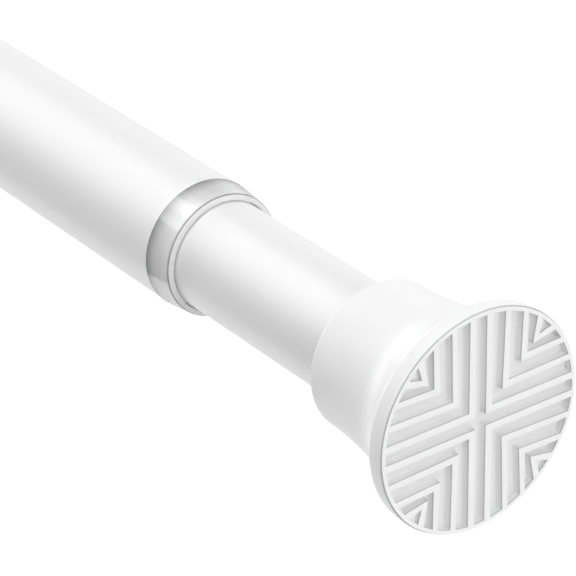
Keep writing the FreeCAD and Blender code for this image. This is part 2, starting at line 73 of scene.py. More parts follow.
# The most of a corner's shorter side that its rounding takes up.
ARC_LIMIT = 0.48

# A lamp's power for each unit of its area and of its face's brightness.
LAMP_POWER = 4.0

# The sockets of a Mix node that are in use for colours.
MIX_FACTOR, MIX_LOW, MIX_HIGH, MIX_RESULT = 0, 6, 7, 2


class End(Enum):
    """The rod's two ends, with the way that each one's pad faces along the rod."""

    FIXED = -1
    FREE = 1


class Bend(Enum):
    """The two ways that a cap's outside curves, with the side of the chord that the arc's centre lies on."""

    HOLLOW = -1
    CROWNED = 1


class Blend(Enum):
    """The ways that two colours are blended, with the node's own name for each."""

    BETWEEN = "MIX"
    PRODUCT = "MULTIPLY"


class Signal:
    """A number that a node gives. Sums, products and powers of signals add Math nodes."""

    def __init__(self, graph: "Graph", socket: Socket) -> None:
        """Keeps the output socket and the graph that its Math nodes go into."""
        self.graph = graph
        self.socket = socket

    def __add__(self, other: "Signal | float") -> "Signal":
        """Sum."""
        return self.graph.math("ADD", self, other)

    def __sub__(self, other: "Signal | float") -> "Signal":
        """Difference."""
        return self.graph.math("SUBTRACT", self, other)

    def __rsub__(self, other: "Signal | float") -> "Signal":
        """Difference from a number, such as 1 - mask."""
        return self.graph.math("SUBTRACT", other, self)

    def __mul__(self, other: "Signal | float") -> "Signal":
        """Product."""
        return self.graph.math("MULTIPLY", self, other)

    def __truediv__(self, other: "Signal | float") -> "Signal":
        """Quotient."""
        return self.graph.math("DIVIDE", self, other)

    def __rtruediv__(self, other: "Signal | float") -> "Signal":
        """Quotient of a number by this."""
        return self.graph.math("DIVIDE", other, self)

    def __pow__(self, other: "Signal | float") -> "Signal":
        """Power."""
        return self.graph.math("POWER", self, other)

    def __rpow__(self, other: "Signal | float") -> "Signal":
        """Power of a number, to this."""
        return self.graph.math("POWER", other, self)

    __radd__ = __add__
    __rmul__ = __mul__


class Graph:
    """A node tree that is written as expressions."""

    def __init__(self, tree: bpy.types.NodeTree) -> None:
        """Takes over a tree and empties it."""
        self.tree = tree
        tree.nodes.clear()

    def node(self, kind: str, settings: dict | None = None, inputs: dict | None = None) -> bpy.types.Node:
        """Makes any node.

        Args:
            kind: The node's type name.
            settings: Properties of the node, set first. The key "stops" holds a ramp's (place, grey) pairs.
            inputs: Values, signals or sockets for the node's input sockets, by name or number.

        Returns:
            The new node.
        """
        made = self.tree.nodes.new(kind)
        for name, value in (settings or {}).items():
            if name == "stops":
                self.set_stops(made, value)
            else:
                setattr(made, name, value)
        for key, value in (inputs or {}).items():
            if isinstance(value, Signal):
                self.tree.links.new(value.socket, made.inputs[key])
            elif isinstance(value, Socket):
                self.tree.links.new(value, made.inputs[key])
            else:
                made.inputs[key].default_value = value
        return made

    @staticmethod
    def set_stops(ramp: bpy.types.Node, stops: tuple[tuple[float, float], ...]) -> None:
        """Gives a colour ramp its grey stops.

        Args:
            ramp: The Color Ramp node.
            stops: The (place, grey) pairs.
        """
        elements = ramp.color_ramp.elements
        while len(elements) < len(stops):
            elements.new(1.0)
        for element, (place, grey) in zip(elements, stops):
            element.position = place
            element.color = (grey, grey, grey, 1.0)

    def signal(
        self, kind: str, output: str | int = 0, settings: dict | None = None, inputs: dict | None = None
    ) -> Signal:
        """Makes a node and returns one of its outputs as a signal."""
        return Signal(self, self.node(kind, settings, inputs).outputs[output])

    def math(self, operation: str, first: Signal | float, second: Signal | float) -> Signal:
        """A Math node of two values."""
        return self.signal("ShaderNodeMath", 0, {"operation": operation}, {0: first, 1: second})

    def rays(self, *kinds: str) -> list[Signal]:
        """Whether a ray is of each kind, such as Camera or Glossy: 1 or 0."""
        path = self.node("ShaderNodeLightPath")
        return [Signal(self, path.outputs[f"Is {kind} Ray"]) for kind in kinds]

    def place(self) -> Socket:
        """The piece's own coordinates, in metres."""
        return self.node("ShaderNodeTexCoord").outputs["Object"]

    def along(self) -> Signal:
        """The place along the rod, in millimetres."""
        return self.signal("ShaderNodeSeparateXYZ", "X", None, {0: self.place()}) / MM

    def out(self) -> Signal:
        """The distance from the rod's axis, which is the length of the place without its part along the rod.

        Returns:
            The distance in millimetres.
        """
        inputs = {0: self.place(), 1: (0.0, 1.0, 1.0)}
        across = self.node("ShaderNodeVectorMath", {"operation": "MULTIPLY"}, inputs).outputs[0]
        return self.signal("ShaderNodeVectorMath", "Value", {"operation": "LENGTH"}, {0: across}) / MM

    def rise(self, value: Signal, start: float, end: float) -> Signal:
        """0 before one value and 1 past another, with a smooth rise between them."""
        inputs = {"Value": value, "From Min": start, "From Max": end}
        return self.signal("ShaderNodeMapRange", 0, {"interpolation_type": "SMOOTHSTEP"}, inputs)

    def noise(self, size_mm: float, detail: float, stretch: Triple) -> Signal:
        """Soft mottling over the piece.

        Args:
            size_mm: How far apart the spots lie.
            detail: How many finer layers it has.
            stretch: How the spots are drawn out along each axis.

        Returns:
            The mottling, from 0 to 1 with its middle at one half.
        """
        scale = tuple(1.0 / s for s in stretch)
        drawn = self.node("ShaderNodeMapping", None, {"Vector": self.place(), "Scale": scale}).outputs[0]
        inputs = {"Vector": drawn, "Scale": 1.0 / (size_mm * MM), "Detail": detail}
        return self.signal("ShaderNodeTexNoise", 0, None, inputs)

    def mix(self, mask: Signal | float, low: Shade, high: Shade, way: Blend = Blend.BETWEEN) -> Socket:
        """A colour made of two, each of which is a socket or a colour with its alpha.

        Args:
            mask: How much of the second colour there is.
            low: The first colour.
            high: The second colour.
            way: How they are blended.

        Returns:
            The colour's socket.
        """
        settings = {"data_type": "RGBA", "blend_type": way.value}
        inputs = {MIX_FACTOR: mask, MIX_LOW: low, MIX_HIGH: high}
        return self.node("ShaderNodeMix", settings, inputs).outputs[MIX_RESULT]

    def bump(self, height: Signal, depth_mm: float) -> Socket:
        """A normal that a height of 0 to 1 disturbs, with the depth of its full range."""
        return self.node("ShaderNodeBump", None, {"Height": height, "Distance": depth_mm * MM}).outputs[0]

    def dull(self, colour: Colour) -> Socket:
        """A plain dull shader of one colour."""
        return self.node("ShaderNodeBsdfDiffuse", None, {"Color": (*colour, 1.0)}).outputs[0]

    def over(self, mask: Signal, under: Socket, top: Socket) -> Socket:
        """A shader laid over another one by a mask."""
        return self.node("ShaderNodeMixShader", None, {0: mask, 1: under, 2: top}).outputs[0]


@dataclass(frozen=True)
class Finish:
    """A surface finish with faint mottling in its colour and its gloss, and a fine grain in its relief."""

    name: str
    colour: Colour
    roughness: float
    tint: float = 0.01
    mottle_mm: float = 9.0
    mottle_detail: float = 3.0
    rough_spread: float = 0.05
    grain_mm: float = 0.5
    grain_detail: float = 2.0
    grain_depth_mm: float = 0.002
    metallic: float = 0.0
    stretch: Triple = (1.0, 1.0, 1.0)
    fixed: dict = field(default_factory=dict)

    def colours(self) -> tuple[Shade, Shade]:
        """The two ends of the mottling, which are the colour less and plus its tint.

        Returns:
            The darker and the lighter colour, with their alphas.
        """
        low = (c * (1.0 - self.tint) for c in self.colour)
        high = (min(1.0, c * (1.0 + self.tint)) for c in self.colour)
        return (*low, 1.0), (*high, 1.0)

    def inputs(self, graph: Graph) -> dict:
        """The values and signals of the shader's sockets.

        Args:
            graph: The material's graph.

        Returns:
            The sockets' values by name.
        """
        mottle = graph.noise(self.mottle_mm, self.mottle_detail, self.stretch)
        grain = graph.noise(self.grain_mm, self.grain_detail, self.stretch)
        return {
            "Base Color": graph.mix(mottle, *self.colours()),
            "Roughness": self.roughness + (mottle - NOISE_MIDDLE) * self.rough_spread,
            "Normal": graph.bump(grain, self.grain_depth_mm),
            "Metallic": self.metallic,
            **self.fixed,
        }

    def surface(self, graph: Graph) -> Socket:
        """The finished shader's output."""
        return graph.node("ShaderNodeBsdfPrincipled", None, self.inputs(graph)).outputs[0]

    def material(self) -> bpy.types.Material:
        """Makes the finish's material, or returns it if it is made.

        Returns:
            The material, all of nodes.
        """
        made = bpy.data.materials.get(self.name)
        if made is not None:
            return made
        made = bpy.data.materials.new(self.name)
        made.use_nodes = True
        graph = Graph(made.node_tree)
        graph.node("ShaderNodeOutputMaterial", None, {"Surface": self.surface(graph)})
        return made


@dataclass(frozen=True)
class TreadFinish(Finish):
    """Moulded rubber: plain on the tops of the ribs, with painted shade down their sides and between them.
    """

    faces: tuple[float, float] = (0.0, 430.0)
    tread_depth: float = 1.5
    # Painted shade by depth below the face: darkest just under the rib tops, lighter down the walls, a
    # little dark between the ribs.
    groove_shade_greys: tuple[tuple[float, float], ...] = (
        (0.0, 1.0), (0.03, 1.0), (0.05, 0.54), (0.15, 0.74), (0.36, 0.96), (0.8, 1.0), (1.0, 0.92),
    )

    def inputs(self, graph: Graph) -> dict:
        """Multiplies the colour by a painted shade that goes by the depth below the nearer face.

        Args:
            graph: The material's graph.

        Returns:
            The sockets' values by name.
        """
        found = super().inputs(graph)
        along = graph.along()
        first, last = self.faces
        below = graph.math("MINIMUM", along - first, last - along) / self.tread_depth
        # The painted groove shade, which the next line multiplies into the rubber's colour.
        grey = graph.node("ShaderNodeValToRGB", {"stops": self.groove_shade_greys}, {0: below}).outputs[0]
        found["Base Color"] = graph.mix(1.0, found["Base Color"], grey, Blend.PRODUCT)
        return found


@dataclass(frozen=True)
class ClearFinish(Finish):
    """Clear plastic over a white tube.

    It is hazy, and darker at its thick root, partly for the plastic's depth and partly as painted shade
    of the tube's mouth. It has a painted dark line of shade along the edge of its nose, painted dark
    silhouettes and a pale lip. Places along the rod and radii are in millimetres.
    """

    edge_at: float = 356.87
    edge_behind: float = 0.4
    edge_ahead: float = 0.14
    edge_painted_shade: Colour = (0.08, 0.08, 0.08)
    root_at: float = 350.8
    root_length: float = 5.0
    root_fall: float = 1.6
    # Partly the thick plastic's depth, partly painted shade of the tube's mouth.
    root_depth_and_painted_shade: Colour = (0.24, 0.24, 0.243)
    haze_colour: Colour = (0.83, 0.83, 0.835)
    haze_full: float = 352.2
    haze_end: float = 355.0
    haze_left: float = 0.7
    side_radius: float = 11.8
    veil: float = 0.3
    lip_white: float = 0.8
    lip_colour: Colour = (0.85, 0.85, 0.855)
    shade_from: float = 355.8
    gloss: float = 0.17
    grazing_gloss: float = 0.5
    grazing_fall: float = 2.5
    gloss_roughness: float = 0.04
    # Painted shade on the silhouettes: a dark dull colour laid over where the surface is seen aslant.
    rim_from: float = 0.88
    rim_shade: float = 0.45
    rim_painted_shade_colour: Colour = (0.1, 0.1, 0.1)

    def inputs(self, graph: Graph) -> dict:
        """Adds a painted dark line of shade along the edge of the nose, by the place along the rod.

        Args:
            graph: The material's graph.

        Returns:
            The sockets' values by name.
        """
        found = super().inputs(graph)
        line = self.line(graph)
        # Painted shade: a dark line along the nose's edge, made opaque by the alpha below.
        found["Base Color"] = graph.mix(line, found["Base Color"], (*self.edge_painted_shade, 1.0))
        found["Alpha"] = self.veil + line * (1.0 - self.veil)
        return found

    def root(self, graph: Graph) -> Signal:
        """1 at the thick root, falling to 0 along the nose by a power of the way that is left.

        Args:
            graph: The material's graph.

        Returns:
            The mask.
        """
        way = (graph.along() - self.root_at) / self.root_length
        past = graph.signal("ShaderNodeClamp", 0, None, {0: way})
        return (1.0 - past) ** self.root_fall

    def line(self, graph: Graph) -> Signal:
        """1 on the edge of the nose, 0 away from it: a rise up to it, times what is left of one past it. It
        is the mask of the painted dark line.

        Args:
            graph: The material's graph.

        Returns:
            The mask.
        """
        along = graph.along()
        behind = graph.rise(along, self.edge_at - self.edge_behind, self.edge_at)
        return behind * (1.0 - graph.rise(along, self.edge_at, self.edge_at + self.edge_ahead))

    def side(self, graph: Graph) -> Signal:
        """1 on the outer side, 0 in the bore."""
        return graph.rise(graph.out(), self.side_radius - self.edge_ahead, self.side_radius)

    def surface(self, graph: Graph) -> Socket:
        """The plastic, with its frosted lip, its haze with painted shade at its root, its gloss and its
        painted dark silhouettes laid over it.

        It lets light pass on to the tube, but for the light that its front shades.

        Args:
            graph: The material's graph.

        Returns:
            The shader's output.
        """
        along = graph.along()
        side = self.side(graph)
        plain = side * (1.0 - self.line(graph))
        lip = graph.rise(along, self.edge_at, self.edge_at + self.edge_ahead) * self.lip_white
        made = graph.over(lip, super().surface(graph), graph.dull(self.lip_colour))
        # A dull haze that darkens towards the root: partly the thick plastic's depth, partly painted shade
        # of the tube's mouth.
        haze_and_root_shade = graph.over(self.root(graph), graph.dull(self.haze_colour), graph.dull(self.root_depth_and_painted_shade))
        thin = graph.rise(along, self.haze_full, self.haze_end) * (1.0 - self.haze_left)
        made = graph.over(plain * (1.0 - thin), made, haze_and_root_shade)
        mirror = graph.node("ShaderNodeBsdfGlossy", None, {"Roughness": self.gloss_roughness}).outputs[0]
        aslant = graph.signal("ShaderNodeLayerWeight", "Facing")
        shine = self.gloss + aslant ** self.grazing_fall * self.grazing_gloss
        made = graph.over(plain * shine, made, mirror)
        # Painted shade: a dark dull colour laid over the silhouettes, where the surface is seen aslant.
        rim = side * graph.rise(aslant, self.rim_from, 1.0) * self.rim_shade
        made = graph.over(rim, made, graph.dull(self.rim_painted_shade_colour))
        shaded = graph.rise(along, self.shade_from, self.edge_at)
        passing = graph.math("MAXIMUM", *graph.rays("Shadow", "Diffuse")) * (1.0 - shaded)
        return graph.over(passing, made, graph.node("ShaderNodeBsdfTransparent").outputs[0])


PAINT = Finish("white_paint", (0.87, 0.87, 0.875), 0.25, grain_mm=0.8, grain_depth_mm=0.001)
MOULDING = Finish("white_moulding", (0.89, 0.89, 0.895), 0.3, grain_mm=1.2, grain_depth_mm=0.001)
TREAD_RUBBER = TreadFinish(
    "tread_rubber", (0.9, 0.9, 0.9), 0.55, tint=0.015, grain_mm=0.12, grain_depth_mm=0.006,
)
CLEAR = ClearFinish(
    "clear_moulding", (0.95, 0.95, 0.955), 0.02, rough_spread=0.01, grain_depth_mm=0.0005,
    fixed={"Transmission Weight": 1.0, "IOR": 1.2},
)
FROSTED = Finish("frosted_moulding", (0.88, 0.88, 0.88), 0.5, grain_mm=0.3, grain_depth_mm=0.004)
GREY_NYLON = Finish("grey_nylon", (0.42, 0.43, 0.44), 0.45, tint=0.04, grain_mm=0.25, grain_depth_mm=0.008)
WHITE_NYLON = Finish("white_nylon", (0.8, 0.8, 0.77), 0.45, tint=0.03, grain_mm=0.25, grain_depth_mm=0.008)
DRAG_RUBBER = Finish(
    "drag_rubber", (0.045, 0.045, 0.047), 0.6, tint=0.15, grain_mm=0.15, grain_depth_mm=0.01,
)
ZINC = Finish(
    "zinc_plate", (0.62, 0.63, 0.65), 0.34, tint=0.06, mottle_mm=3.0, rough_spread=0.12,
    grain_mm=0.3, grain_depth_mm=0.004, metallic=1.0, stretch=(1.0, 6.0, 6.0),
)
WIRE = Finish(
    "drawn_wire", (0.46, 0.46, 0.48), 0.3, tint=0.05, mottle_mm=2.0, rough_spread=0.1,
    grain_mm=0.2, grain_depth_mm=0.003, metallic=1.0,
)

FINISHES = {
    "white_paint": PAINT,
    "clear_plastic": CLEAR,
    "white_plastic": MOULDING,
    "pad_rubber": TREAD_RUBBER,
    "grey_nylon": GREY_NYLON,
    "white_nylon": WHITE_NYLON,
    "black_rubber": DRAG_RUBBER,
    "zinc_steel": ZINC,
    "spring_steel": WIRE,
}


def new_object(name: str, data: bpy.types.ID) -> bpy.types.Object:
    """Makes an object at the origin, in the scene.

    Args:
        name: The object's name.
        data: Its mesh, light or camera.

    Returns:
        The object.
    """
    made = bpy.data.objects.new(name, data)
    bpy.context.scene.collection.objects.link(made)
    return made


class Skin:
    """A closed surface of triangles, in millimetres."""

    def __init__(self, points: Array, triangles: Array) -> None:
        """Keeps the points and triangles, turned so that the volume that they close in is positive.

        Args:
            points: The points, by number and axis.
            triangles: The triangles' point numbers.
        """
        self.points = points
        a, b, c = (points[triangles[:, k]] for k in range(3))
        volume = np.einsum("ij,ij->i", a, np.cross(b, c)).sum()
        self.triangles = triangles if volume > 0 else triangles[:, ::-1]

    @classmethod
    def welded(cls, points: Array, triangles: Array) -> "Skin":
        """A skin whose points that lie together are one, without the triangles that have no area.

        Args:
            points: The points, by number and axis.
            triangles: The triangles' point numbers.

        Returns:
            The welded skin.
        """
        cells = np.round(points / WELD_MM)
        _, first, number = np.unique(cells, axis=0, return_index=True, return_inverse=True)
        triangles = number.reshape(-1)[triangles]
        a, b, c = triangles.T
        return cls(points[first], triangles[(a != b) & (b != c) & (c != a)])

    @classmethod
    def of_grid(cls, grid: Array, close_rows: bool, close_columns: bool) -> "Skin":
        """A skin from rows of points.

        Args:
            grid: The points, by row, column and axis.
            close_rows: Whether the last row joins the first.
            close_columns: Whether the last column joins the first.

        Returns:
            The welded skin.
        """
        triangles = grid_triangles(grid.shape[0], grid.shape[1], close_rows, close_columns)
        return cls.welded(grid.reshape(-1, 3), triangles)

    def normals(self) -> Array:
        """Each point's normal, the sum of its triangles' normals by their areas, so that flats shade flat.

        Returns:
            The normals, by point and axis.
        """
        a, b, c = (self.points[self.triangles[:, k]] for k in range(3))
        facing = np.cross(b - a, c - a)
        total = np.zeros_like(self.points)
        for k in range(3):
            np.add.at(total, self.triangles[:, k], facing)
        return total / np.linalg.norm(total, axis=1, keepdims=True)

    def object(self, name: str, finish: Finish) -> bpy.types.Object:
        """Makes the object, at the origin, with its finish.

        Args:
            name: The object's name.
            finish: What it is dressed in.

        Returns:
            The object.
        """
        mesh = bpy.data.meshes.new(name)
        mesh.from_pydata((self.points * MM).tolist(), [], self.triangles.tolist())
        mesh.shade_smooth()
        mesh.normals_split_custom_set_from_vertices(self.normals().tolist())
        mesh.materials.append(finish.material())
        return new_object(name, mesh)


def grid_triangles(rows: int, columns: int, close_rows: bool = False, close_columns: bool = False) -> Array:
    """Two triangles for each cell of a grid whose points are numbered row by row.

    Args:
        rows: The grid's rows.
        columns: The grid's columns.
        close_rows: Whether the last row joins the first.
        close_columns: Whether the last column joins the first.

    Returns:
        The triangles' point numbers.
    """
    down = np.arange(rows - (not close_rows))
    across = np.arange(columns - (not close_columns))
    i, j = np.meshgrid(down, across, indexing="ij")
    below, beside = (i + 1) % rows, (j + 1) % columns
    a, b = i * columns + j, i * columns + beside
    c, d = below * columns + beside, below * columns + j
    return np.concatenate([np.stack(t, -1).reshape(-1, 3) for t in ((a, b, c), (a, c, d))])


def swing(start: Array, end: Array, sweep: float, share: Array) -> Array:
    """Spokes of an arc between two spokes: a sum of both, each by the sine of its share of the sweep."""
    return (np.sin((1 - share) * sweep) * start + np.sin(share * sweep) * end) / math.sin(sweep)


def rounded_outline(corners: list[Corner], steps: int = 4) -> Array:
    """A closed outline whose corners are rounded by arcs that touch both of their sides.

    An arc's centre lies on the line that halves its corner, at the rounding over the sine of half the angle.

    Args:
        corners: (along, radius, rounding) of each corner. One with a rounding of 0 stays a point.
        steps: How many chords an arc has.

    Returns:
        The outline's (along, radius) points.
    """
    places = np.array([c[:2] for c in corners])
    sizes = [c[2] for c in corners]
    share = np.linspace(0.0, 1.0, steps + 1)[:, None]
    parts = []
    for before, here, after, size in zip(np.roll(places, 1, 0), places, np.roll(places, -1, 0), sizes):
        if size == 0:
            parts.append(here[None])
            continue
        to_before, to_after = before - here, after - here
        reach = min(np.linalg.norm(to_before), np.linalg.norm(to_after))
        u, w = to_before / np.linalg.norm(to_before), to_after / np.linalg.norm(to_after)
        half = math.acos(float(np.clip(u @ w, -1.0, 1.0))) / 2
        size = min(size, ARC_LIMIT * reach * math.tan(half))
        middle = here + (u + w) / np.linalg.norm(u + w) * size / math.sin(half)
        start = here + u * size / math.tan(half) - middle
        end = here + w * size / math.tan(half) - middle
        parts.append(middle + swing(start, end, math.pi - 2 * half, share))
    return np.vstack(parts)


def curve_between(a: Array, b: Array, size: float, bend: Bend, count: int) -> list[Corner]:
    """Points of a circle's arc between two points, both left out.

    The centre stands off the middle of the chord by one side of a right triangle, whose longest side is
    the radius and whose third side is half of the chord.

    Args:
        a: The first point.
        b: The last point.
        size: The arc's radius.
        bend: The side that the centre lies on.
        count: How many points there are.

    Returns:
        The points as corners that stay sharp.
    """
    chord = b - a
    length = float(np.linalg.norm(chord))
    across = np.array([-chord[1], chord[0]]) / length * bend.value
    centre = (a + b) / 2 + across * math.sqrt(size**2 - length**2 / 4)
    share = np.linspace(0.0, 1.0, count + 2)[1:-1, None]
    arc = swing(a - centre, b - centre, 2 * math.asin(length / 2 / size), share)
    return [(float(p[0]), float(p[1]), 0.0) for p in centre + arc]


def lathe(outline: Array, sides: int) -> Skin:
    """A closed outline carried round the rod's axis: each of its points becomes a circle.

    Args:
        outline: The outline's (along, radius) points.
        sides: How many points a circle has.

    Returns:
        The surface.
    """
    angle = np.arange(sides) * 2 * math.pi / sides
    along, size = outline[:, 0, None], outline[:, 1, None]
    grid = np.stack(np.broadcast_arrays(along, size * np.cos(angle), size * np.sin(angle)), -1)
    return Skin.of_grid(grid, True, True)


@dataclass
class Piece:
    """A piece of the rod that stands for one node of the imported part. Its sizes are in millimetres."""

    node: str
    body: str
    slot: str

    def skin(self) -> Skin:
        """The piece's surface."""
        raise NotImplementedError

    def name(self) -> str:
        """The name of the piece's object."""
        return f"{self.node}_skin"

    def finish(self) -> Finish:
        """The finish of the piece's slot."""
        return FINISHES[self.slot]

    def build(self) -> bpy.types.Object:
        """Makes the piece, dresses it and lets it ride on its body.

        Returns:
            The piece's object.
        """
        skin = self.skin()
        made = skin.object(self.name(), self.finish())
        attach(made, self.body)
        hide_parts(self.node)
        log.info("%s: %d triangles on %s", made.name, len(skin.triangles), self.body)
        return made


@dataclass
class Tube(Piece):
    """A painted tube with softly rounded ends."""

    start: float
    end: float
    radius: float
    wall: float = 0.8
    edge: float = 0.36
    sides: int = 256

    def skin(self) -> Skin:
        """The tube's section, a rounded rectangle, carried round the axis.

        Returns:
            The surface.
        """
        bore = self.radius - self.wall
        places = ((self.start, bore), (self.end, bore), (self.end, self.radius), (self.start, self.radius))
        return lathe(rounded_outline([(*place, self.edge) for place in places]), self.sides)


@dataclass
class CollarNose(Piece):
    """The clear collar's tapered nose, in front of the outer tube's mouth."""

    root: float = 350.8
    nose: float = 356.85
    lip: float = 357.5
    bore: float = 10.9
    root_radius: float = 12.6
    nose_radius: float = 11.925
    bore_edge: float = 0.06
    edge: float = 0.12
    nose_edge: float = 0.24
    edge_steps: int = 6
    sides: int = 256

    def skin(self) -> Skin:
        """The nose's section, carried round the axis.

        Returns:
            The surface.
        """
        corners = [
            (self.root, self.bore, self.bore_edge),
            (self.lip, self.bore, self.edge),
            (self.nose, self.nose_radius, self.nose_edge),
            (self.root, self.root_radius, self.edge),
        ]
        return lathe(rounded_outline(corners, self.edge_steps), self.sides)


@dataclass
class CollarSpigot(Tube):
    """The collar's spigot, which looks white in the tube's mouth, since it is bonded to the white bore."""

    start: float = 334.8
    end: float = 350.75
    radius: float = 11.65
    wall: float = 0.9
    edge: float = 0.08

    def name(self) -> str:
        """The name of the spigot's object, beside the nose's."""
        return f"{self.node}_spigot_skin"

    def finish(self) -> Finish:
        """The frosted look of the bonded spigot."""
        return FROSTED


@dataclass
class Cap(Piece):
    """A flared end cap: a sleeve over its tube, a spigot in it and a recess for the pad."""

    end: End
    face: float
    tube_radius: float
    tube_bore: float
    length: float = 28.0
    sleeve_radius: float = 14.0
    back_round: float = 0.6
    waist_depth: float = 13.4
    waist_radius: float = 15.35
    flare_depth: float = 4.78
    flare_radius: float = 19.37
    rim_depth: float = 1.5
    rim_radius: float = 20.6
    sleeve_round: float = 90.0
    sleeve_steps: int = 20
    flare_round: float = 17.8
    flare_steps: int = 28
    rim_round: float = 5.0
    rim_steps: int = 20
    lip_drop: float = 0.3
    lip_slope: float = 0.3
    lip_inset: float = 0.08
    recess_radius: float = 20.47
    recess_depth: float = 3.2
    stud_hole: float = 4.1
    seat_depth: float = 7.0
    spigot_length: float = 12.0
    spigot_wall: float = 1.6
    fit: float = 0.1
    edge: float = 0.15
    rim_edge: float = 0.6
    lip_edge: float = 0.05
    spigot_edge: float = 0.3
    sides: int = 256

    def outside(self) -> list[Corner]:
        """The curve over the sleeve and the flare to the rim, in three arcs.

        It starts past the rounded back edge.

        Returns:
            The points as corners of depth behind the face, radius and no rounding.
        """
        back = np.array([self.length - 2 * self.back_round, self.sleeve_radius])
        waist = np.array([self.waist_depth, self.waist_radius])
        flare = np.array([self.flare_depth, self.flare_radius])
        rim = np.array([self.rim_depth, self.rim_radius])
        return [
            *curve_between(back, waist, self.sleeve_round, Bend.HOLLOW, self.sleeve_steps),
            (*waist, 0.0),
            *curve_between(waist, flare, self.flare_round, Bend.HOLLOW, self.flare_steps),
            (*flare, 0.0),
            *curve_between(flare, rim, self.rim_round, Bend.CROWNED, self.rim_steps),
            (*rim, 0.0),
        ]

    def skin(self) -> Skin:
        """The cap's section, carried round the axis.

        Returns:
            The surface.
        """
        sleeve_bore = self.tube_radius + self.fit
        spigot = self.tube_bore - self.fit
        inside = spigot - self.spigot_wall
        spigot_end = self.seat_depth + self.spigot_length
        outline = rounded_outline([
            (self.length, sleeve_bore, self.edge),
            (self.length, self.sleeve_radius, self.back_round),
            *self.outside(),
            (self.lip_drop + self.lip_slope, self.rim_radius, self.rim_edge),
            (self.lip_drop, self.rim_radius - self.lip_inset, self.edge),
            (self.lip_drop, self.recess_radius, self.lip_edge),
            (self.recess_depth, self.recess_radius, self.edge),
            (self.recess_depth, self.stud_hole, self.edge),
            (self.seat_depth, self.stud_hole, self.edge),
            (self.seat_depth, inside, self.edge),
            (spigot_end, inside, self.edge),
            (spigot_end, spigot, self.spigot_edge),
            (self.seat_depth, spigot, self.edge),
            (self.seat_depth, sleeve_bore, self.edge),
        ])
        outline[:, 0] = self.face - outline[:, 0] * self.end.value
        return lathe(outline, self.sides)


@dataclass(frozen=True)
class Rib:
    """An L-shaped rib of a quarter of the tread.

    Its tip is the front corner's distance from both axes. Its leans are the degrees that its front and back
    sides turn away from the cross.
    """

    tip: float
    lean: float
    back_lean: float
    width: float = 1.3


